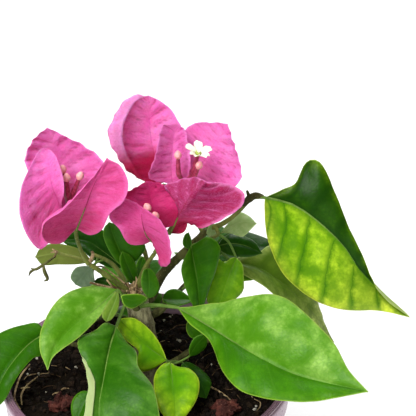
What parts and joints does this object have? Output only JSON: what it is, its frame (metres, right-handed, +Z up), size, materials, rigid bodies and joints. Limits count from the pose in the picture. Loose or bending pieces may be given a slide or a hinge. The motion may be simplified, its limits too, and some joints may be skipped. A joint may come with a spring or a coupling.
{
  "type": "potted bougainvillea bush",
  "caption": "Small flowering bougainvillea in a round plastic pot: short pruned trunk, slim boughs, broad pointed leaves and papery magenta bracts.",
  "frame": {"origin": "centre of the flat underside of the pot, where it stands", "axes": "+Z up along the pot's axis, -Y towards the side that carries the big front leaves, +X to the right seen from there"},
  "size_m": [0.174, 0.1426, 0.2191],
  "materials": {
    "pot_plastic": "smooth moulded mauve polypropylene, slightly glossy",
    "potting_mix": "moist dark potting mix with fibres and bits",
    "bark": "grey-brown bark with fine cracks",
    "green_stem": "young green stem",
    "leaf_green": "soft green leaf with a low sheen",
    "bract_magenta": "papery magenta bract with fine veins"
  },
  "bodies": {
    "root": {"pot": "pot_plastic", "potting_mix": "potting_mix", "trunk": "bark", "bough_right": "bark", "bough_middle": "green_stem", "bough_left": "green_stem", "front_leaves": "leaf_green", "right_leaves": "leaf_green", "low_shoot": "leaf_green", "left_leaves": "leaf_green", "back_left_leaves": "leaf_green", "back_bracts": "bract_magenta", "left_bracts": "bract_magenta", "right_bracts": "bract_magenta", "right_low_leaves": "leaf_green", "back_right_leaves": "leaf_green", "back_leaves": "leaf_green", "back_left_high": "leaf_green"}
  },
  "joints": []
}
